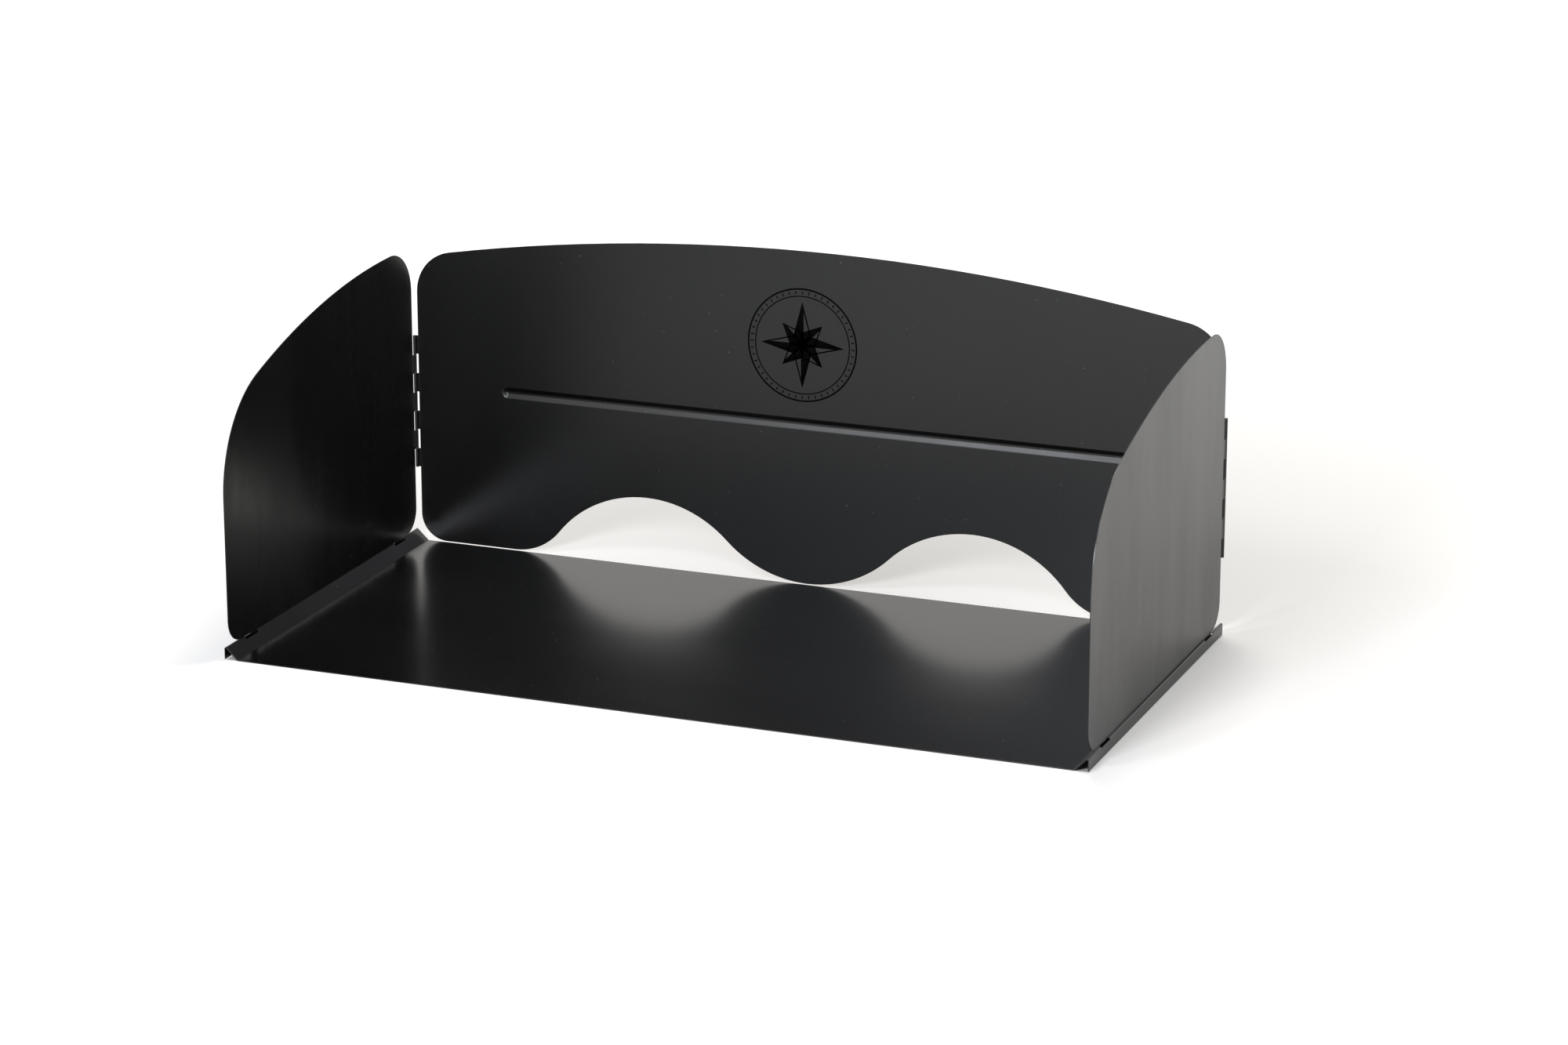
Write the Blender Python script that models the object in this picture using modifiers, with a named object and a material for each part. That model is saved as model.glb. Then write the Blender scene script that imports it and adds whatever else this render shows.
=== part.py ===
# Camp kitchen windscreen: a folding sheet-metal screen that stands on a base plate.
# The base plate is one bent sheet with a ridge along each side. The screen is a back
# panel with a wing on a rolled hinge at each end, and the wings stand on the ridges.
# Metres, +Z up, the open front faces -Y, origin on the floor under the middle of the plate.

import bpy
import bmesh
from math import acos, atan2, ceil, cos, pi, radians, sin, sqrt, tan
from mathutils import Matrix, Vector

# Sheet steel
SHEET = 0.0006                 # thickness of every sheet
ARC_TOLERANCE = 0.00004        # how far a chord may lie inside its arc
ARC_STEP = radians(12)         # the most that one chord may turn
WELD = 0.000001                # points closer than this are one
SHADE_ANGLE = radians(30)      # a sharper bend is shaded as an edge

# Base plate
BASE_WIDTH = 0.600             # flat floor of the plate, between the feet of the ridges
BASE_DEPTH = 0.301             # front edge to rear edge
RIDGE_HEIGHT = 0.0088          # floor to the top of the ridge
RIDGE_SLOPE = radians(43.4)    # rise of the inner slope from the flat
RIDGE_BEND = 0.0007            # middle radius of the bend on top
FOOT_BEND = 0.0008             # middle radius of the bend at the foot
FLANGE_LIFT = 0.0003           # floor to the lower edge of the outer flange

# Slots through the ridges, and the wings' tabs that stand in them
SLOT_LENGTH = 0.0185
SLOT_REACH = 0.0033            # from the outer face of the flange into the inner slope
SLOT_DROP = 0.0012             # down the outer flange, from the top of the ridge
SLOT_STEP = 0.0002             # inside of the flange to where the slot gets deeper
FRONT_SLOT_INSET = 0.0355      # middle of the front slot, from the front edge
REAR_SLOT_INSET = 0.0320       # middle of the rear slot, from the rear edge
TAB_DEPTH = 0.0015             # below the lower edge of the wing
FRONT_TAB_LENGTH = 0.0090
REAR_TAB_LENGTH = 0.0160
TAB_REAR_GAP = 0.0008          # rear end of the tab to the rear end of its slot

# Back panel
PANEL_GAP = 0.0016             # rear edge of the base plate to the panel's front face
PANEL_CLEARANCE = 0.0008       # floor to the lowest edge
PANEL_TOP = 0.246              # floor to the crown of the curved top edge
PANEL_TOP_RADIUS = 1.540
PANEL_SHOULDER = 0.032         # radius of the two upper corners
PANEL_EDGE_GAP = 0.0024        # side edge to the hinge axis
PANEL_CORNER = 0.020           # radius of the two lower corners
VENT_SPACING = 0.2496          # middle to middle of the two arched vents
VENT_HEIGHT = 0.0508           # lowest edge to the top of a vent
VENT_SHOULDER = 0.045          # radius where a vent runs out to the side
BEAD_HEIGHT = 0.1195           # floor to the middle of the pressed stiffening bead
BEAD_LENGTH = 0.474
BEAD_WIDTH = 0.0072            # across the groove at the front face
BEAD_DEPTH = 0.0020            # pressed to the rear, from the front face
BEAD_SEGMENTS = 32

# Wings
WING_INSET = 0.0016            # middle of the outer flange to the middle of the wing sheet
WING_GAP = 0.0002              # top of the ridge to the lower edge of the wing
WING_FRONT_INSET = 0.0030      # front edge of the base plate to the front edge of the wing
WING_EDGE_GAP = 0.0041         # rear edge to the hinge axis
WING_TOP = 0.2235              # floor to the highest point of the curved top edge
WING_TOP_SETBACK = 0.0370      # highest point to the hinge axis
WING_TOP_RADIUS = 0.640
WING_FRONT_SHOULDER = 0.080    # radius of the upper front corner
WING_REAR_SHOULDER = 0.033     # radius of the upper rear corner
WING_CORNER = 0.0175           # radius of the two lower corners

# Hinges: the sheets' own edges, rolled round a pin
PIN_RADIUS = 0.0006
PIN_CLEARANCE = 0.00005        # pin to the inside of a knuckle, on the radius
PIN_CHAMFER = 0.0002
KNUCKLE_COUNT = 7              # the odd ones belong to the panel, the even ones to the wing
KNUCKLE_PITCH = 0.0143
KNUCKLE_GAP = 0.0003           # between neighbours
HINGE_BOTTOM = 0.056           # floor to the lowest knuckle
ROLL_ANGLE = radians(290)      # how far a knuckle's sheet turns round the pin
ROLL_STEPS = 20
LIFT_ANGLE = radians(31)       # how far a wing's knuckle first bends out, to centre its roll
LIFT_STEPS = 3
PIN_SEGMENTS = 24

# Places that follow from the sizes above
FRONT_Y = -BASE_DEPTH / 2
FRONT_SLOT_Y = FRONT_Y + FRONT_SLOT_INSET
REAR_SLOT_Y = FRONT_Y + BASE_DEPTH - REAR_SLOT_INSET
BEND_SETBACK = RIDGE_BEND / tan((pi / 2 - RIDGE_SLOPE) / 2)
APEX_Z = RIDGE_HEIGHT - SHEET / 2 - RIDGE_BEND + BEND_SETBACK
FLANGE_X = BASE_WIDTH / 2 + (APEX_Z - SHEET / 2) / tan(RIDGE_SLOPE)
WING_X = FLANGE_X - WING_INSET
ROLL_RADIUS = PIN_RADIUS + PIN_CLEARANCE + SHEET / 2
LIFT_RADIUS = ROLL_RADIUS * cos(LIFT_ANGLE) / (1 - cos(LIFT_ANGLE))
LIFT_START = -(LIFT_RADIUS + ROLL_RADIUS) * sin(LIFT_ANGLE)
HINGE_X = WING_X
PANEL_Y = BASE_DEPTH / 2 + PANEL_GAP + SHEET / 2
HINGE_Y = PANEL_Y - ROLL_RADIUS
WING_BOTTOM = RIDGE_HEIGHT + WING_GAP
OUTSIDE = 0.002                # how far a cutter reaches past what it cuts

PAINT_COLOUR = (0.028, 0.028, 0.031, 1.0)
PAINT_ROUGHNESS = 0.36
STEEL_COLOUR = (0.28, 0.27, 0.26, 1.0)
STEEL_ROUGHNESS = 0.42


def clear_scene():
    for item in list(bpy.data.objects):
        bpy.data.objects.remove(item, do_unlink=True)


def new_collection(name):
    collection = bpy.data.collections.new(name)
    bpy.context.scene.collection.children.link(collection)
    return collection


def principled(name, colour, metallic, roughness):
    material = bpy.data.materials.new(name)
    material.use_nodes = True
    shader = material.node_tree.nodes["Principled BSDF"]
    shader.inputs["Base Color"].default_value = colour
    shader.inputs["Metallic"].default_value = metallic
    shader.inputs["Roughness"].default_value = roughness
    return material


# Plane geometry

def arc(centre, radius, start, end):
    """Points on an arc, both ends included, close enough to keep to ARC_TOLERANCE."""
    step = min(2 * acos(1 - ARC_TOLERANCE / radius), ARC_STEP)
    count = max(2, ceil(abs(end - start) / step))
    angles = [start + (end - start) * i / count for i in range(count + 1)]
    return [(centre[0] + radius * cos(a), centre[1] + radius * sin(a)) for a in angles]


def crowned_edge(left, right, crown, crown_radius, left_corner, right_corner):
    """A top edge from the right side to the left: corner, long arc through crown, corner."""
    middle = (crown[0], crown[1] - crown_radius)
    right_x = right - right_corner
    left_x = left + left_corner
    right_rise = sqrt((crown_radius - right_corner) ** 2 - (right_x - middle[0]) ** 2)
    left_rise = sqrt((crown_radius - left_corner) ** 2 - (left_x - middle[0]) ** 2)
    right_turn = atan2(right_rise, right_x - middle[0])
    left_turn = atan2(left_rise, left_x - middle[0])
    points = arc((right_x, middle[1] + right_rise), right_corner, 0, right_turn)
    points += arc(middle, crown_radius, right_turn, left_turn)[1:-1]
    points += arc((left_x, middle[1] + left_rise), left_corner, left_turn, pi)
    return points


def filleted_path(corners, radii):
    """An open path through corners, each inner one rounded to its radius."""
    points = [corners[0]]
    for before, corner, after, radius in zip(corners, corners[1:], corners[2:], radii):
        here = Vector(corner)
        back = (Vector(before) - here).normalized()
        ahead = (Vector(after) - here).normalized()
        half = back.angle(ahead) / 2
        centre = here + (back + ahead).normalized() * radius / sin(half)
        first = here + back * radius / tan(half) - centre
        last = here + ahead * radius / tan(half) - centre
        start = atan2(first.y, first.x)
        turn = atan2(last.y, last.x) - start
        turn = (turn + pi) % (2 * pi) - pi
        points += arc(centre, radius, start, start + turn)
    points.append(corners[-1])
    return points


def knuckle_span(index):
    """Lower and upper end of a knuckle, numbered from 0 at the bottom."""
    low = HINGE_BOTTOM + index * KNUCKLE_PITCH + KNUCKLE_GAP / 2
    return low, low + KNUCKLE_PITCH - KNUCKLE_GAP


def edge_with_leaves(edge, axis, indices):
    """The points of a side edge, going up, with a leaf out to the hinge axis at each index."""
    points = []
    for index in indices:
        low, high = knuckle_span(index)
        points += [(edge, low), (axis, low), (axis, high), (edge, high)]
    return points


# Sheet parts

# An outline's x and y become X and Z, or Y and Z
FACING_Y = Matrix(((1, 0, 0, 0), (0, 0, -1, 0), (0, 1, 0, 0), (0, 0, 0, 1)))
FACING_X = Matrix(((0, 0, 1, 0), (1, 0, 0, 0), (0, 1, 0, 0), (0, 0, 0, 1)))


def sheet_from_outline(name, outline, thickness, collection):
    """A flat sheet, still lying in the plane of its outline: a filled 2D curve, made a mesh."""
    data = bpy.data.curves.new(name + "_outline", "CURVE")
    data.dimensions = "2D"
    data.fill_mode = "BOTH"
    data.extrude = thickness / 2
    spline = data.splines.new("POLY")
    spline.points.add(len(outline) - 1)
    for point, (x, y) in zip(spline.points, outline):
        point.co = (x, y, 0, 1)
    spline.use_cyclic_u = True
    curve = bpy.data.objects.new(name + "_outline", data)
    collection.objects.link(curve)
    bpy.context.view_layer.update()

    evaluated = curve.evaluated_get(bpy.context.evaluated_depsgraph_get())
    mesh = bpy.data.meshes.new_from_object(evaluated)
    mesh.name = name
    weld_sheet(mesh)
    sheet = bpy.data.objects.new(name, mesh)
    collection.objects.link(sheet)
    bpy.data.objects.remove(curve, do_unlink=True)
    bpy.data.curves.remove(data)
    return sheet


def weld_sheet(mesh):
    """Joins the curve's loose parts, and fills each of the sheet's two sides anew."""
    work = bmesh.new()
    work.from_mesh(mesh)
    bmesh.ops.remove_doubles(work, verts=work.verts, dist=WELD)
    for side in (1, -1):
        flat = [f for f in work.faces if all(v.co.z * side > 0 for v in f.verts)]
        whole = bmesh.ops.dissolve_faces(work, faces=flat)
        bmesh.ops.triangulate(work, faces=whole["region"], ngon_method="BEAUTY")
    work.to_mesh(mesh)
    work.free()


def stand_up(sheet, axes, location):
    sheet.data.transform(axes)
    sheet.location = location


def bend_leaves(sheet, leaf_end, bends):
    """Lengthens every leaf that ends at x = leaf_end by bends about lines along local Y.

    Each bend is the x and z of its line, its angle and its number of steps.
    """
    work = bmesh.new()
    work.from_mesh(sheet.data)
    ends = [f for f in work.faces if all(abs(v.co.x - leaf_end) < WELD for v in f.verts)]
    for face in ends:
        tip = [face] + list(face.edges) + list(face.verts)
        for x, z, angle, steps in bends:
            spun = bmesh.ops.spin(work, geom=tip, cent=(x, 0, z), axis=(0, 1, 0), angle=angle,
                                  steps=steps, use_duplicate=False)
            tip = spun["geom_last"]
    work.to_mesh(sheet.data)
    work.free()


def cut(target, cutter, operation="DIFFERENCE"):
    modifier = target.modifiers.new(operation.lower() + "_" + cutter.name, "BOOLEAN")
    modifier.operation = operation
    modifier.solver = "EXACT"
    modifier.object = cutter
    cutter.hide_render = True
    cutter.display_type = "WIRE"


def finish(item, material):
    item.data.materials.clear()
    item.data.materials.append(material)
    item.data.shade_smooth()
    item.data.set_sharp_from_angle(angle=SHADE_ANGLE)


# Base plate

def base_profile():
    """Middle line of the bent sheet from its centre out to the right flange's lower edge."""
    corners = [
        (0, SHEET / 2),
        (BASE_WIDTH / 2, SHEET / 2),
        (FLANGE_X, APEX_Z),
        (FLANGE_X, FLANGE_LIFT),
    ]
    return filleted_path(corners, [FOOT_BEND, RIDGE_BEND])


def slot_outline():
    """Section of a slot across the right ridge: deep in the slope, shallow in the flange."""
    outer = FLANGE_X + SHEET / 2
    step_x = outer - SHEET - SLOT_STEP
    flange_cut = RIDGE_HEIGHT - SLOT_DROP
    slope_cut = RIDGE_HEIGHT - SLOT_REACH
    return [
        (outer - SLOT_REACH, RIDGE_HEIGHT + OUTSIDE),
        (outer - SLOT_REACH, slope_cut),
        (step_x, slope_cut),
        (step_x, flange_cut),
        (outer + OUTSIDE, flange_cut),
        (outer + OUTSIDE, RIDGE_HEIGHT + OUTSIDE),
    ]


def make_base_plate(parts, cutters, material):
    mesh = bpy.data.meshes.new("base_plate")
    work = bmesh.new()
    line = [work.verts.new((x, FRONT_Y, z)) for x, z in base_profile()]
    edges = [work.edges.new(pair) for pair in zip(line, line[1:])]
    grown = bmesh.ops.extrude_edge_only(work, edges=edges)
    moved = [v for v in grown["geom"] if isinstance(v, bmesh.types.BMVert)]
    bmesh.ops.translate(work, verts=moved, vec=(0, BASE_DEPTH, 0))
    work.to_mesh(mesh)
    work.free()
    plate = bpy.data.objects.new("base_plate", mesh)
    parts.objects.link(plate)

    mirror = plate.modifiers.new("other_half", "MIRROR")
    mirror.use_axis = (True, False, False)
    mirror.merge_threshold = WELD
    wall = plate.modifiers.new("sheet", "SOLIDIFY")
    wall.thickness = SHEET
    wall.offset = 0
    wall.use_even_offset = True

    for side_name, mirrored in (("right", False), ("left", True)):
        outline = slot_outline()
        if mirrored:
            outline = [(-x, z) for x, z in reversed(outline)]
        for place, middle in (("front", FRONT_SLOT_Y), ("rear", REAR_SLOT_Y)):
            cutter = sheet_from_outline(side_name + "_" + place + "_slot", outline, SLOT_LENGTH,
                                        cutters)
            stand_up(cutter, FACING_Y, (0, middle, 0))
            cut(plate, cutter)
    finish(plate, material)
    return plate


# Back panel

def vent_edge():
    """Right half of the waved lower edge, from the middle lobe out to the lower corner."""
    half_spacing = VENT_SPACING / 2
    wave = (half_spacing ** 2 + VENT_HEIGHT ** 2) / (4 * VENT_HEIGHT)
    lobe_centre = (0, PANEL_CLEARANCE + wave)
    vent_centre = (half_spacing, PANEL_CLEARANCE + VENT_HEIGHT - wave)
    turn = atan2(vent_centre[1] - lobe_centre[1], half_spacing)

    shoulder_rise = PANEL_CLEARANCE + VENT_SHOULDER - vent_centre[1]
    shoulder_run = sqrt((wave + VENT_SHOULDER) ** 2 - shoulder_rise ** 2)
    shoulder_turn = atan2(shoulder_rise, shoulder_run)
    shoulder_centre = (half_spacing + shoulder_run, PANEL_CLEARANCE + VENT_SHOULDER)

    corner_centre = (HINGE_X - PANEL_EDGE_GAP - PANEL_CORNER, PANEL_CLEARANCE + PANEL_CORNER)
    points = arc(lobe_centre, wave, -pi / 2, turn)
    points += arc(vent_centre, wave, turn + pi, shoulder_turn)[1:]
    points += arc(shoulder_centre, VENT_SHOULDER, shoulder_turn - pi, -pi / 2)[1:]
    points += arc(corner_centre, PANEL_CORNER, -pi / 2, 0)
    return points


def panel_outline():
    edge = HINGE_X - PANEL_EDGE_GAP
    lower = vent_edge()
    leaves = edge_with_leaves(edge, HINGE_X, range(0, KNUCKLE_COUNT, 2))
    top = crowned_edge(-edge, edge, (0, PANEL_TOP), PANEL_TOP_RADIUS,
                       PANEL_SHOULDER, PANEL_SHOULDER)
    right = lower + leaves
    left = [(-x, z) for x, z in reversed(right)]
    return right + top + left[:-1]


def bead_body(name, extra, collection):
    """A rod with round ends, turned about local Z: the bead's groove, or its outside."""
    half_width = BEAD_WIDTH / 2
    radius = (half_width ** 2 + BEAD_DEPTH ** 2) / (2 * BEAD_DEPTH)
    outer = radius + extra
    straight = BEAD_LENGTH / 2 - half_width
    profile = arc((0, straight), outer, pi / 2, 0) + arc((0, -straight), outer, 0, -pi / 2)

    mesh = bpy.data.meshes.new(name)
    work = bmesh.new()
    line = [work.verts.new((r, 0, z)) for r, z in profile]
    edges = [work.edges.new(pair) for pair in zip(line, line[1:])]
    bmesh.ops.spin(work, geom=line + edges, cent=(0, 0, 0), axis=(0, 0, 1), angle=2 * pi,
                   steps=BEAD_SEGMENTS, use_merge=True, use_duplicate=False)
    bmesh.ops.remove_doubles(work, verts=work.verts, dist=WELD)
    bmesh.ops.recalc_face_normals(work, faces=work.faces)
    work.to_mesh(mesh)
    work.free()
    body = bpy.data.objects.new(name, mesh)
    front_face = PANEL_Y - SHEET / 2
    body.location = (0, front_face - radius + BEAD_DEPTH, BEAD_HEIGHT)
    body.rotation_euler = (0, pi / 2, 0)
    collection.objects.link(body)
    return body


def keep_behind(body, plane_y):
    """Cuts off what lies in front of a plane, and closes the cut."""
    bpy.context.view_layer.update()
    local = body.matrix_world.inverted()
    work = bmesh.new()
    work.from_mesh(body.data)
    sliced = bmesh.ops.bisect_plane(
        work, geom=work.verts[:] + work.edges[:] + work.faces[:],
        plane_co=local @ Vector((0, plane_y, BEAD_HEIGHT)),
        plane_no=local.to_3x3() @ Vector((0, -1, 0)), clear_outer=True)
    rim = [e for e in sliced["geom_cut"] if isinstance(e, bmesh.types.BMEdge)]
    bmesh.ops.contextual_create(work, geom=rim)
    bmesh.ops.recalc_face_normals(work, faces=work.faces)
    work.to_mesh(body.data)
    work.free()


def make_back_panel(parts, cutters, material):
    panel = sheet_from_outline("back_panel", panel_outline(), SHEET, parts)
    for side in (1, -1):
        roll = (side * HINGE_X, ROLL_RADIUS, -side * ROLL_ANGLE, ROLL_STEPS)
        bend_leaves(panel, side * HINGE_X, [roll])
    stand_up(panel, FACING_Y, (0, PANEL_Y, 0))

    ridge = bead_body("bead_outside", SHEET, cutters)
    keep_behind(ridge, PANEL_Y)
    cut(panel, ridge, "UNION")
    groove = bead_body("bead_groove", 0, cutters)
    cut(panel, groove)
    finish(panel, material)
    return panel


# Wings

def tab_points(slot_middle, length):
    """A tab below the wing's lower edge, seen from the right, in Y from the hinge axis."""
    rear = slot_middle + SLOT_LENGTH / 2 - TAB_REAR_GAP - HINGE_Y
    low = WING_BOTTOM - TAB_DEPTH
    return [(rear - length, WING_BOTTOM), (rear - length, low), (rear, low), (rear, WING_BOTTOM)]


def wing_outline():
    """Outline in Y and Z, with Y measured from the hinge axis."""
    front = FRONT_Y + WING_FRONT_INSET - HINGE_Y
    rear = -WING_EDGE_GAP
    corner_z = WING_BOTTOM + WING_CORNER
    points = arc((front + WING_CORNER, corner_z), WING_CORNER, pi, 3 * pi / 2)
    points += tab_points(FRONT_SLOT_Y, FRONT_TAB_LENGTH)
    points += tab_points(REAR_SLOT_Y, REAR_TAB_LENGTH)
    points += arc((rear - WING_CORNER, corner_z), WING_CORNER, -pi / 2, 0)
    points += edge_with_leaves(rear, LIFT_START, range(1, KNUCKLE_COUNT, 2))
    points += crowned_edge(front, rear, (-WING_TOP_SETBACK, WING_TOP), WING_TOP_RADIUS,
                           WING_FRONT_SHOULDER, WING_REAR_SHOULDER)
    return points


def make_wing(name, side, parts, material):
    """One wing, its object standing on its hinge axis. side is 1 for right, -1 for left."""
    wing = sheet_from_outline(name, wing_outline(), SHEET, parts)
    lift = (LIFT_START, side * LIFT_RADIUS, -side * LIFT_ANGLE, LIFT_STEPS)
    roll = (0, 0, side * ROLL_ANGLE, ROLL_STEPS)
    bend_leaves(wing, LIFT_START, [lift, roll])
    stand_up(wing, FACING_X, (side * HINGE_X, HINGE_Y, 0))
    finish(wing, material)
    return wing


def make_pin(name, side, parts, material):
    length = KNUCKLE_COUNT * KNUCKLE_PITCH - KNUCKLE_GAP
    mesh = bpy.data.meshes.new(name)
    work = bmesh.new()
    bmesh.ops.create_cone(work, cap_ends=True, segments=PIN_SEGMENTS, radius1=PIN_RADIUS,
                          radius2=PIN_RADIUS, depth=length)
    rims = [e for e in work.edges if abs(e.verts[0].co.z - e.verts[1].co.z) < length / 2]
    bmesh.ops.bevel(work, geom=rims, offset=PIN_CHAMFER, segments=1, profile=0.5,
                    affect="EDGES", material=-1)
    work.to_mesh(mesh)
    work.free()
    pin = bpy.data.objects.new(name, mesh)
    pin.location = (side * HINGE_X, HINGE_Y, HINGE_BOTTOM + KNUCKLE_COUNT * KNUCKLE_PITCH / 2)
    parts.objects.link(pin)
    finish(pin, material)
    return pin


def main():
    clear_scene()
    parts = new_collection("camp_kitchen_windscreen")
    cutters = new_collection("cutters")
    paint = principled("satin_black_paint", PAINT_COLOUR, 0.0, PAINT_ROUGHNESS)
    steel = principled("dark_pin_steel", STEEL_COLOUR, 1.0, STEEL_ROUGHNESS)

    make_base_plate(parts, cutters, paint)
    screen = bpy.data.objects.new("screen", None)
    parts.objects.link(screen)
    pieces = [
        make_back_panel(parts, cutters, paint),
        make_wing("left_wing", -1, parts, paint),
        make_wing("right_wing", 1, parts, paint),
        make_pin("left_hinge_pin", -1, parts, steel),
        make_pin("right_hinge_pin", 1, parts, steel),
    ]
    for piece in pieces:
        piece.parent = screen
    bpy.context.view_layer.update()


main()
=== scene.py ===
from math import pi, radians

import bmesh
import bpy
from mathutils import Matrix, Vector


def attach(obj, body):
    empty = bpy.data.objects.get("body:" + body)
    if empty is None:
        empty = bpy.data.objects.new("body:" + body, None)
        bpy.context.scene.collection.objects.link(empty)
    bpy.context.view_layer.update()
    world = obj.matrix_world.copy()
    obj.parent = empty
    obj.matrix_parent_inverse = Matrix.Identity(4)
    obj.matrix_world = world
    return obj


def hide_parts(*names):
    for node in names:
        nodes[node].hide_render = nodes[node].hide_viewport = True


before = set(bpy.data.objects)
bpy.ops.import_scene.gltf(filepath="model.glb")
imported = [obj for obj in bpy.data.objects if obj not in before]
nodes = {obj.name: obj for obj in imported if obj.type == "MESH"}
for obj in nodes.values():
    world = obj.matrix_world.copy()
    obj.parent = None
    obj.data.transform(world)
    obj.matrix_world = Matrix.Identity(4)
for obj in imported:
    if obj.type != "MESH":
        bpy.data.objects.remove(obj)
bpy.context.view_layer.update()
scene = bpy.context.scene
print("frame loaded:", len(nodes), "nodes")


# Studio: camera, floor, sky and soft lamps

cameraSetup = {
    "place": (1.1636, -2.8501, 1.0238),
    "turn": 21.482,      # degrees round to the right of straight ahead
    "dip": 16.878,       # degrees below level
    "lens": 108.0,
    "sensor": 36.0,
    "clipEnd": 50.0,
}

studioSetup = {
    "floorSize": 14.0,
    "floorDrop": 0.0002,
    "floorColour": (0.80, 0.785, 0.76, 1.0),
    # white added for what the camera sees, lowest round the shade place as a painted shade on the floor,
    # full from the far reach on
    "paintedShadePlace": (0.02, 0.14, 0.0),
    "shadeReach": (0.0, 1.15),
    "seenLift": (0.19, 1.0),
    # reflections get a share of it, which grows from left to right as a painted light in what the paint
    # reflects
    "glossReach": (-0.60, 0.60),
    "paintedReflectionShare": (0.07, 0.84),
    # half the plate's footprint, under which nothing is added
    "plateReach": (0.3090, 0.1495),
    "skySeen": (1.0, 1.0, 1.0, 1.0),
    "skyColour": (1.0, 0.985, 0.96, 1.0),
    "skyStrength": 0.05,
}

# place, aim, width, height, power and colour of each soft lamp
lampSetup = {
    "topBox": ((0.094, 0.533, 1.744), (0.0, 0.0, 0.08), 0.55, 0.55, 15.0, (1.0, 0.985, 0.945)),
    "beadBox": ((-0.400, -1.030, 1.390), (0.0, 0.0, 0.08), 0.40, 0.40, 5.0, (0.90, 0.94, 1.0)),
    "frontBox": ((0.0, -1.586, 0.820), (0.0, 0.0, 0.08), 0.40, 0.40, 17.0, (0.91, 0.93, 1.0)),
    "lowBox": ((-0.437, -1.633, 0.533), (0.0, 0.0, 0.08), 0.55, 0.55, 2.4, (0.72, 0.86, 1.0)),
}


def makeCamera(setup):
    data = bpy.data.cameras.new("photoCamera")
    data.lens = setup["lens"]
    data.sensor_width = setup["sensor"]
    data.clip_end = setup["clipEnd"]
    camera = bpy.data.objects.new("photoCamera", data)
    camera.location = setup["place"]
    camera.rotation_euler = (radians(90 - setup["dip"]), 0, radians(setup["turn"]))
    scene.collection.objects.link(camera)
    scene.camera = camera


def newMaterial(name):
    material = bpy.data.materials.new(name)
    material.use_nodes = True
    tree = material.node_tree
    return material, tree, tree.nodes["Principled BSDF"]


def noiseNode(tree, vector, scale, detail, roughness):
    noise = tree.nodes.new("ShaderNodeTexNoise")
    noise.inputs["Scale"].default_value = scale
    noise.inputs["Detail"].default_value = detail
    noise.inputs["Roughness"].default_value = roughness
    tree.links.new(vector, noise.inputs["Vector"])
    return noise.outputs["Fac"]


def spread(tree, value, fromLow, fromHigh, toLow, toHigh):
    rng = tree.nodes.new("ShaderNodeMapRange")
    rng.inputs["From Min"].default_value = fromLow
    rng.inputs["From Max"].default_value = fromHigh
    rng.inputs["To Min"].default_value = toLow
    rng.inputs["To Max"].default_value = toHigh
    tree.links.new(value, rng.inputs["Value"])
    return rng.outputs[0]


def mixColour(tree, fac, first, second):
    mix = tree.nodes.new("ShaderNodeMix")
    mix.data_type = "RGBA"
    tree.links.new(fac, mix.inputs[0])
    for socket, value in ((mix.inputs[6], first), (mix.inputs[7], second)):
        if isinstance(value, tuple):
            socket.default_value = value
        else:
            tree.links.new(value, socket)
    return mix.outputs[2]


def mathNode(tree, operation, first, second=None):
    node = tree.nodes.new("ShaderNodeMath")
    node.operation = operation
    for socket, value in zip(node.inputs, (first, second)):
        if isinstance(value, float):
            socket.default_value = value
        elif value is not None:
            tree.links.new(value, socket)
    return node.outputs[0]


def makeFloorMaterial(setup):
    material = bpy.data.materials.new("paleFloor")
    material.use_nodes = True
    tree = material.node_tree
    tree.nodes.clear()
    out = tree.nodes.new("ShaderNodeOutputMaterial")
    both = tree.nodes.new("ShaderNodeAddShader")
    matt = tree.nodes.new("ShaderNodeBsdfDiffuse")
    glow = tree.nodes.new("ShaderNodeEmission")
    path = tree.nodes.new("ShaderNodeLightPath")
    matt.inputs["Color"].default_value = setup["floorColour"]
    place = tree.nodes.new("ShaderNodeTexCoord")
    away = tree.nodes.new("ShaderNodeVectorMath")
    away.operation = "DISTANCE"
    away.inputs[1].default_value = setup["paintedShadePlace"]
    tree.links.new(place.outputs["Object"], away.inputs[0])
    split = tree.nodes.new("ShaderNodeSeparateXYZ")
    tree.links.new(place.outputs["Object"], split.inputs[0])
    # painted shade: less white is added near the shade place, so the floor reads darker round the object
    seenLift = spread(tree, away.outputs["Value"], *setup["shadeReach"], *setup["seenLift"])
    paintedReflectionShare = spread(tree, split.outputs["X"], *setup["glossReach"], *setup["paintedReflectionShare"])
    outside = []
    for axis, reach in zip("XY", setup["plateReach"]):
        fromMiddleLine = mathNode(tree, "ABSOLUTE", split.outputs[axis])
        outside.append(mathNode(tree, "GREATER_THAN", fromMiddleLine, reach))
    openFloor = mathNode(tree, "MAXIMUM", *outside)
    seen = mathNode(tree, "MULTIPLY", path.outputs["Is Camera Ray"], seenLift)
    # painted reflection: the floor seen in reflections gets more added white towards the right
    share = mathNode(tree, "MULTIPLY", path.outputs["Is Glossy Ray"], paintedReflectionShare)
    mirrored = mathNode(tree, "MULTIPLY", share, seenLift)
    lift = mathNode(tree, "MULTIPLY", mathNode(tree, "ADD", seen, mirrored), openFloor)
    tree.links.new(lift, glow.inputs["Strength"])
    tree.links.new(matt.outputs[0], both.inputs[0])
    tree.links.new(glow.outputs[0], both.inputs[1])
    tree.links.new(both.outputs[0], out.inputs["Surface"])
    return material


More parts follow.
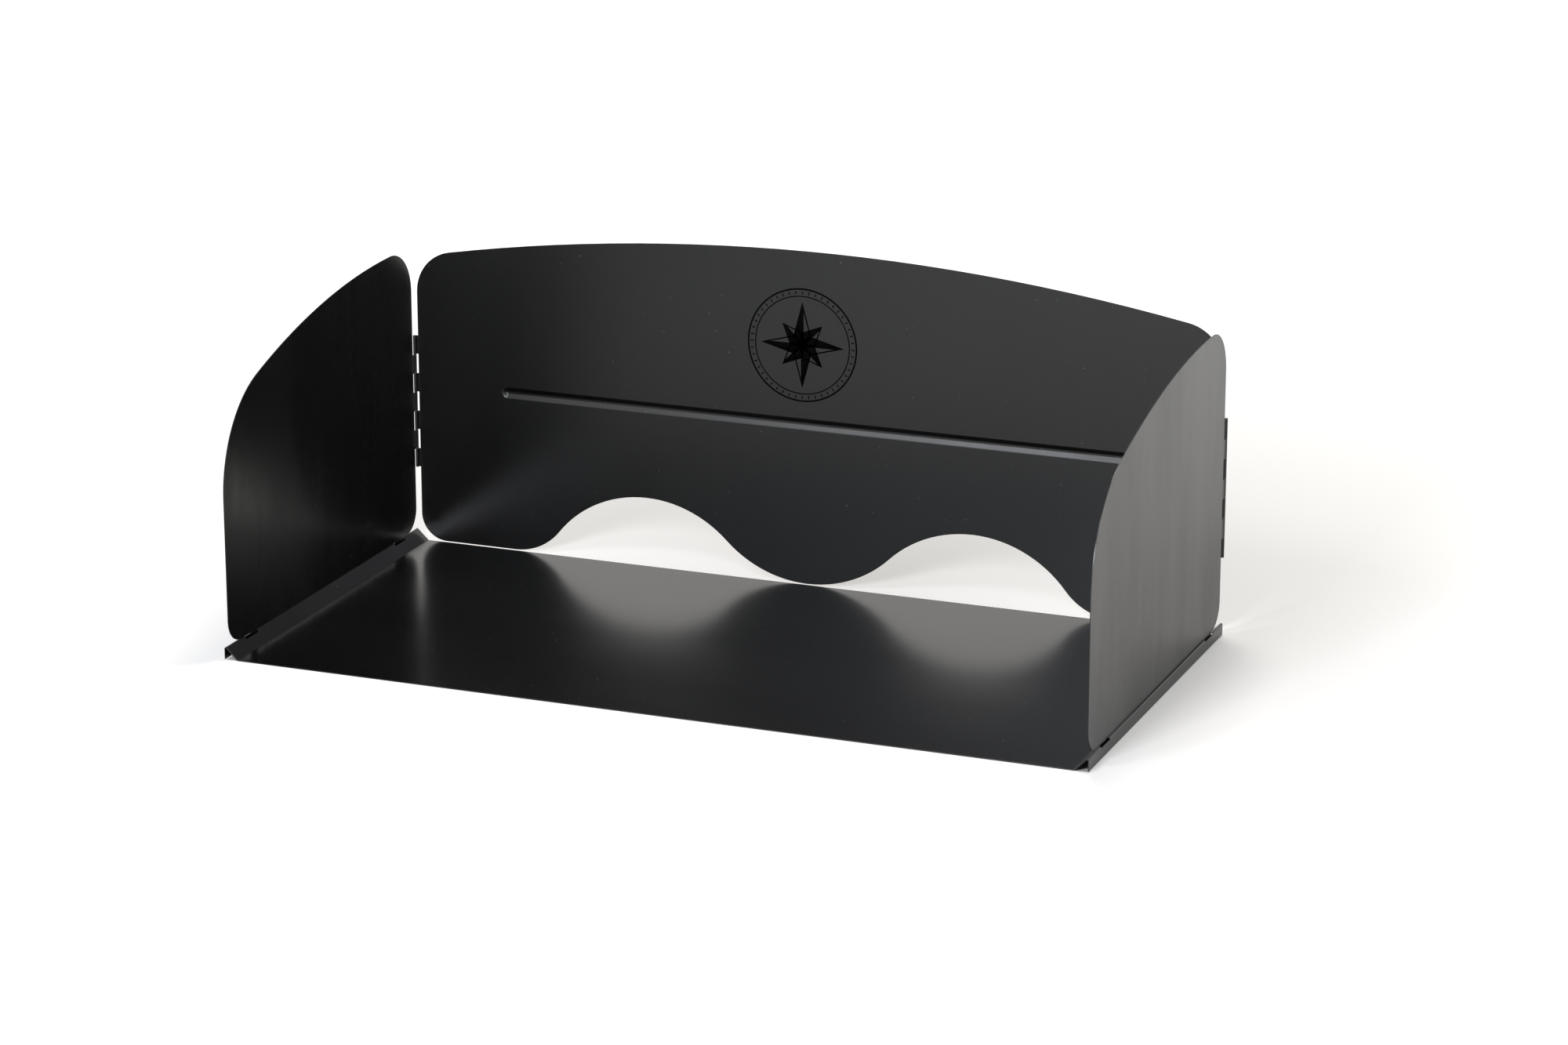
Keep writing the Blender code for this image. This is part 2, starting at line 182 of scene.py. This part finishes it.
def makeFloor(setup):
    bm = bmesh.new()
    bmesh.ops.create_grid(bm, x_segments=1, y_segments=1, size=setup["floorSize"] / 2)
    bmesh.ops.translate(bm, verts=bm.verts, vec=(0, 0, -setup["floorDrop"]))
    mesh = bpy.data.meshes.new("floor")
    bm.to_mesh(mesh)
    bm.free()
    floor = bpy.data.objects.new("floor", mesh)
    scene.collection.objects.link(floor)
    mesh.materials.append(makeFloorMaterial(setup))


def makeSky(setup):
    world = bpy.data.worlds.new("studioSky")
    scene.world = world
    world.use_nodes = True
    tree = world.node_tree
    sky = tree.nodes["Background"]
    path = tree.nodes.new("ShaderNodeLightPath")
    seen = mathNode(tree, "MAXIMUM", path.outputs["Is Camera Ray"], path.outputs["Is Glossy Ray"])
    through = mathNode(tree, "MAXIMUM", seen, path.outputs["Is Transmission Ray"])
    level = spread(tree, through, 0, 1, setup["skyStrength"], 1)
    tree.links.new(level, sky.inputs["Strength"])
    tint = mixColour(tree, path.outputs["Is Camera Ray"], setup["skyColour"], setup["skySeen"])
    tree.links.new(tint, sky.inputs["Color"])


def makeLamp(name, place, aim, width, height, power, colour):
    data = bpy.data.lights.new(name, "AREA")
    data.shape = "RECTANGLE"
    data.size = width
    data.size_y = height
    data.energy = power
    data.color = colour
    lamp = bpy.data.objects.new(name, data)
    lamp.location = place
    lamp.rotation_euler = (Vector(aim) - Vector(place)).to_track_quat("-Z", "Y").to_euler()
    scene.collection.objects.link(lamp)


scene.view_settings.view_transform = "Standard"
makeCamera(cameraSetup)
makeFloor(studioSetup)
makeSky(studioSetup)
for name, values in lampSetup.items():
    makeLamp(name, *values)
print("studio ready")


# Finishes

# where a noise's middle part is stretched to the full range
mottle = (0.35, 0.65, 0, 1)

paintSetup = {
    "deep": (0.0018, 0.0018, 0.0019, 1.0),
    "light": (0.0034, 0.0034, 0.0036, 1.0),
    "cloudScale": 9.0,
    "smearScale": 14.0,
    "grainScale": 1500.0,
    "grainHeight": 0.000006,
    "dustScale": 200.0,
    "dustFrom": 0.60,     # only cells whose random value is above this hold a speck
    "dustSize": 0.065,
    "dustColour": (0.26, 0.255, 0.25, 1.0),
}

# least and most roughness of each sheet's coat, and how its smears are drawn out
glossSetup = {
    "basePaint": (0.185, 0.225, (0.22, 1.0, 1.0)),
    "panelPaint": (0.27, 0.32, (1.0, 1.0, 0.22)),
    "wingPaint": (0.19, 0.34, (1.0, 1.0, 0.22)),
}

edgeHighlightSetup = {
    # painted highlight: the edge colours are lighter and warmer than the coat, for the bright rim along the
    # cut edges
    "colour": (0.034, 0.029, 0.026, 1.0),
    "dark": (0.020, 0.018, 0.017, 1.0),
    "scale": 160.0,
    "roughness": 0.34,
}

pinSetup = {
    "bright": (0.30, 0.29, 0.28, 1.0),
    "dull": (0.17, 0.16, 0.155, 1.0),
    "stretch": (1.0, 1.0, 0.02),
    "lineScale": 9000.0,
    "tarnishScale": 260.0,
    "roughness": (0.30, 0.50),
}

inkSetup = {
    "fresh": (0.0016, 0.0016, 0.0017, 1.0),
    "worn": (0.0030, 0.0030, 0.0032, 1.0),
    "wearScale": 420.0,
    "wearFrom": (0.40, 0.75),
    "roughness": 0.75,
    "shine": 0.02,
}


def makePaint(name, setup, glossy, matt, stretch):
    # satin powder coat: faint clouds, long smears in the gloss, fine grain, a few dust specks
    material, tree, shader = newMaterial(name)
    place = tree.nodes.new("ShaderNodeTexCoord").outputs["Object"]
    clouds = spread(tree, noiseNode(tree, place, setup["cloudScale"], 4, 0.55), *mottle)
    paint = mixColour(tree, clouds, setup["deep"], setup["light"])

    drawn = tree.nodes.new("ShaderNodeMapping")
    drawn.inputs["Scale"].default_value = stretch
    tree.links.new(place, drawn.inputs["Vector"])
    smear = noiseNode(tree, drawn.outputs[0], setup["smearScale"], 3, 0.6)

    dots = tree.nodes.new("ShaderNodeTexVoronoi")
    dots.inputs["Scale"].default_value = setup["dustScale"]
    tree.links.new(place, dots.inputs["Vector"])
    size = tree.nodes.new("ShaderNodeSeparateColor")
    tree.links.new(dots.outputs["Color"], size.inputs[0])
    limit = spread(tree, size.outputs[0], setup["dustFrom"], 1, 0, setup["dustSize"])
    inside = tree.nodes.new("ShaderNodeMath")
    inside.operation = "LESS_THAN"
    tree.links.new(dots.outputs["Distance"], inside.inputs[0])
    tree.links.new(limit, inside.inputs[1])
    dusty = mixColour(tree, inside.outputs[0], paint, setup["dustColour"])
    tree.links.new(dusty, shader.inputs["Base Color"])

    rough = spread(tree, smear, 0.3, 0.7, glossy, matt)
    tree.links.new(rough, shader.inputs["Roughness"])
    bump = tree.nodes.new("ShaderNodeBump")
    bump.inputs["Distance"].default_value = setup["grainHeight"]
    tree.links.new(noiseNode(tree, place, setup["grainScale"], 2, 0.5), bump.inputs["Height"])
    tree.links.new(bump.outputs[0], shader.inputs["Normal"])
    return material


def makeHighlightedCutEdge(setup):
    # the cut edges are coloured lighter and warmer than the coat: mostly a painted warm highlight along the
    # edges, partly the thinner coat where the sheet was cut
    material, tree, shader = newMaterial("cutEdgeWithPaintedHighlight")
    place = tree.nodes.new("ShaderNodeTexCoord").outputs["Object"]
    worn = spread(tree, noiseNode(tree, place, setup["scale"], 3, 0.6), *mottle)
    tree.links.new(mixColour(tree, worn, setup["dark"], setup["colour"]), shader.inputs["Base Color"])
    shader.inputs["Roughness"].default_value = setup["roughness"]
    return material


def makePinSteel(setup):
    # drawn wire: fine lines along the pin, a little tarnish
    material, tree, shader = newMaterial("drawnPinSteel")
    place = tree.nodes.new("ShaderNodeTexCoord").outputs["Object"]
    along = tree.nodes.new("ShaderNodeMapping")
    along.inputs["Scale"].default_value = setup["stretch"]
    tree.links.new(place, along.inputs["Vector"])
    lines = noiseNode(tree, along.outputs[0], setup["lineScale"], 2, 0.5)
    tarnish = spread(tree, noiseNode(tree, place, setup["tarnishScale"], 3, 0.6), *mottle)
    tree.links.new(mixColour(tree, tarnish, setup["bright"], setup["dull"]), shader.inputs["Base Color"])
    tree.links.new(spread(tree, lines, 0.3, 0.7, *setup["roughness"]), shader.inputs["Roughness"])
    shader.inputs["Metallic"].default_value = 1.0
    return material


def makeInk(setup):
    # printed ink lies dead matt on the paint, a little worn
    material, tree, shader = newMaterial("mattInk")
    place = tree.nodes.new("ShaderNodeTexCoord").outputs["Object"]
    worn = spread(tree, noiseNode(tree, place, setup["wearScale"], 4, 0.6), *setup["wearFrom"], 0, 1)
    tree.links.new(mixColour(tree, worn, setup["fresh"], setup["worn"]), shader.inputs["Base Color"])
    shader.inputs["Roughness"].default_value = setup["roughness"]
    shader.inputs["Specular IOR Level"].default_value = setup["shine"]
    return material


paints = {name: makePaint(name, paintSetup, *values) for name, values in glossSetup.items()}
paintedHighlightEdge = makeHighlightedCutEdge(edgeHighlightSetup)
pinSteel = makePinSteel(pinSetup)
ink = makeInk(inkSetup)
print("paint mixed")


# Sheets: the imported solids, merged, with softened edges and a truly pressed bead

sheetSetup = {
    "weld": 0.000002,
    "flat": 0.15,         # degrees: triangles this flat to each other become one face
    "sharp": 35.0,        # degrees: a sharper outside edge is softened
    "soften": 0.00010,
    "shade": 20.0,
    "thickness": 0.0006,
}

beadSetup = {
    "height": 0.1195,
    "halfStraight": 0.2342,
    "search": 0.0042,     # every face within this of the middle line belongs to the old bead
    # distance from the middle line and depth of each ring, from the rim inward
    "rings": (
        (0.00440, 0.0), (0.00415, 0.00003), (0.00385, 0.00011), (0.00360, 0.00025), (0.00330, 0.00042),
        (0.00275, 0.00078), (0.00220, 0.00114), (0.00165, 0.00150), (0.00110, 0.00184), (0.00083, 0.00196),
        (0.00065, 0.0020), (0.0, 0.0020),
    ),
}


def mergedCopy(node):
    bm = bmesh.new()
    bm.from_mesh(nodes[node].data)
    bmesh.ops.remove_doubles(bm, verts=bm.verts, dist=sheetSetup["weld"])
    bmesh.ops.dissolve_limit(bm, angle_limit=radians(sheetSetup["flat"]), verts=bm.verts, edges=bm.edges)
    return bm


def fromMiddle(point, setup):
    # nearest point on the bead's middle line, and the way out from it
    x = max(-setup["halfStraight"], min(setup["halfStraight"], point.x))
    return x, Vector((point.x - x, 0, point.z - setup["height"]))


def pressBead(bm, setup):
    old = [f for f in bm.faces if all(fromMiddle(v.co, setup)[1].length < setup["search"] for v in f.verts)]
    bmesh.ops.delete(bm, geom=old, context="FACES")
    rims = [e for e in bm.edges if e.is_boundary]
    front = min(v.co.y for e in rims for v in e.verts)
    for behind in (False, True):
        rim = [e for e in rims if (e.verts[0].co.y > front + sheetSetup["thickness"] / 2) == behind]
        face = rim[0].verts[0].co.y
        verts = {v for e in rim for v in e.verts}
        ways = {v: fromMiddle(v.co, setup) for v in verts}
        reach = setup["rings"][0][0]
        for v, (x, out) in ways.items():
            v.co = Vector((x, face, setup["height"])) + out.normalized() * reach
        for nextReach, deep in setup["rings"][1:]:
            grown = bmesh.ops.extrude_edge_only(bm, edges=rim)["geom"]
            rim = [g for g in grown if isinstance(g, bmesh.types.BMEdge) and g.is_boundary]
            for v in {v for e in rim for v in e.verts}:
                x, out = fromMiddle(v.co, setup)
                v.co = Vector((x, face + deep, setup["height"])) + out * nextReach / reach
            reach = nextReach
        bmesh.ops.remove_doubles(bm, verts=list({v for e in rim for v in e.verts}), dist=sheetSetup["weld"])
    bmesh.ops.recalc_face_normals(bm, faces=bm.faces)


def softenEdges(bm, setup):
    limit = radians(setup["sharp"])
    sharp = [e for e in bm.edges if e.is_manifold and e.is_convex and e.calc_face_angle() > limit]
    made = bmesh.ops.bevel(bm, geom=sharp, offset=setup["soften"], affect="EDGES", segments=2,
                           profile=0.5, material=-1, clamp_overlap=True)
    # the bevel faces take the cut-edge material with its painted highlight
    for f in made["faces"]:
        f.material_index = 1


def finishPiece(bm, name, body, materials):
    mesh = bpy.data.meshes.new(name)
    bm.to_mesh(mesh)
    bm.free()
    piece = bpy.data.objects.new(name, mesh)
    scene.collection.objects.link(piece)
    for material in materials:
        mesh.materials.append(material)
    mesh.shade_smooth()
    mesh.set_sharp_from_angle(angle=radians(sheetSetup["shade"]))
    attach(piece, body)
    print("made", name, len(mesh.polygons), "faces")
    return piece


def makeSheet(name, node, body, paint, withBead=False):
    bm = mergedCopy(node)
    if withBead:
        pressBead(bm, beadSetup)
    softenEdges(bm, sheetSetup)
    sheet = finishPiece(bm, name, body, [paints[paint], paintedHighlightEdge])
    keepFlat = sheet.modifiers.new("keepFlat", "WEIGHTED_NORMAL")
    keepFlat.keep_sharp = True
    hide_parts(node)


makeSheet("floorPlate", "base_plate", "base", "basePaint")
makeSheet("rearPanel", "back_panel", "screen", "panelPaint", withBead=True)
makeSheet("leftWingSheet", "left_wing", "left_wing", "wingPaint")
makeSheet("rightWingSheet", "right_wing", "right_wing", "wingPaint")

for pin in ("left_hinge_pin", "right_hinge_pin"):
    for holder in nodes[pin].material_slots:
        holder.material = pinSteel
print("hinge pins finished")


# Badge: a compass rose in a ring of ticks, printed on the panel's front face

badgeSetup = {
    "across": -0.004,
    "height": 0.1775,
    "radius": 0.0415,
    "ringWidth": 0.0012,
    "innerRing": 0.0360,
    "innerWidth": 0.0008,
    "ringSegments": 160,
    "ticks": 48,
    "tickFrom": 0.0372,
    "tickLength": 0.0022,
    "tickWidth": 0.0008,
    "longPoint": 0.0315,
    "shortPoint": 0.0215,
    "waist": 0.0095,       # how far out two neighbouring points meet
    "lineWidth": 0.0010,
    "hub": 0.0030,
    "hubSegments": 48,
    "inkThickness": 0.00004,
}


def ringBand(bm, radius, width, segments):
    ring = bmesh.ops.create_circle(bm, cap_ends=False, radius=radius, segments=segments)
    edges = list({e for v in ring["verts"] for e in v.link_edges})
    grown = bmesh.ops.extrude_edge_only(bm, edges=edges)["geom"]
    inner = [g for g in grown if isinstance(g, bmesh.types.BMVert)]
    bmesh.ops.scale(bm, vec=Vector.Fill(3, (radius - width) / radius), verts=inner)


def aroundMiddle(bm, faces, count, start=0.0):
    # turns the faces to their first place, and sets copies of them evenly round the middle
    verts = list({v for f in faces for v in f.verts})
    bmesh.ops.rotate(bm, cent=(0, 0, 0), matrix=Matrix.Rotation(start, 3, "Z"), verts=verts)
    edges = list({e for f in faces for e in f.edges})
    bmesh.ops.spin(bm, geom=verts + edges + faces, cent=(0, 0, 0), axis=(0, 0, 1), use_duplicate=True,
                   angle=2 * pi * (count - 1) / count, steps=count - 1)


def rosePoint(bm, length, waist, lineWidth, start):
    # one point of the rose: a solid half and an outlined half
    side = waist / 2 ** 0.5
    corners = [bm.verts.new(p) for p in ((0, 0, 0), (length, 0, 0), (side, side, 0))]
    aroundMiddle(bm, [bm.faces.new(corners)], 4, start)

    outer = [Vector(p) for p in ((0, 0, 0), (side, -side, 0), (length, 0, 0))]
    sides = [(outer[(i + 1) % 3] - outer[(i + 2) % 3]).length for i in range(3)]
    middle = sum((p * s for p, s in zip(outer, sides)), Vector()) / sum(sides)
    inRadius = length * side / sum(sides)
    inner = [middle + (p - middle) * (1 - lineWidth / inRadius) for p in outer]
    rim = [bm.verts.new(p) for p in outer]
    hole = [bm.verts.new(p) for p in inner]
    band = [bm.faces.new((rim[i], rim[(i + 1) % 3], hole[(i + 1) % 3], hole[i])) for i in range(3)]
    aroundMiddle(bm, band, 4, start)


def makeBadge(setup):
    bm = bmesh.new()
    ringBand(bm, setup["radius"], setup["ringWidth"], setup["ringSegments"])
    ringBand(bm, setup["innerRing"], setup["innerWidth"], setup["ringSegments"])
    ringBand(bm, setup["hub"] + setup["lineWidth"], setup["lineWidth"], setup["hubSegments"])
    tick = bmesh.ops.create_grid(bm, x_segments=1, y_segments=1, size=0.5)["verts"]
    bmesh.ops.scale(bm, vec=(setup["tickLength"], setup["tickWidth"], 1), verts=tick)
    bmesh.ops.translate(bm, vec=(setup["tickFrom"] + setup["tickLength"] / 2, 0, 0), verts=tick)
    aroundMiddle(bm, list({f for v in tick for f in v.link_faces}), setup["ticks"])
    rosePoint(bm, setup["shortPoint"], setup["waist"], setup["lineWidth"], pi / 4)
    rosePoint(bm, setup["longPoint"], setup["waist"], setup["lineWidth"], 0.0)
    return bm


def panelFrontY():
    # the big flat face that looks forward
    bm = mergedCopy("back_panel")
    front = max((f for f in bm.faces if f.normal.y < -0.9), key=lambda f: f.calc_area())
    y = front.verts[0].co.y
    bm.free()
    return y


badgeMesh = makeBadge(badgeSetup)
bmesh.ops.rotate(badgeMesh, cent=(0, 0, 0), matrix=Matrix.Rotation(pi / 2, 3, "X"), verts=badgeMesh.verts)
bmesh.ops.translate(badgeMesh, verts=badgeMesh.verts,
                    vec=(badgeSetup["across"], panelFrontY(), badgeSetup["height"]))
badge = finishPiece(badgeMesh, "compassBadge", "screen", [ink])
layer = badge.modifiers.new("inkLayer", "SOLIDIFY")
layer.thickness = badgeSetup["inkThickness"]
layer.offset = 1.0
print("badge printed")
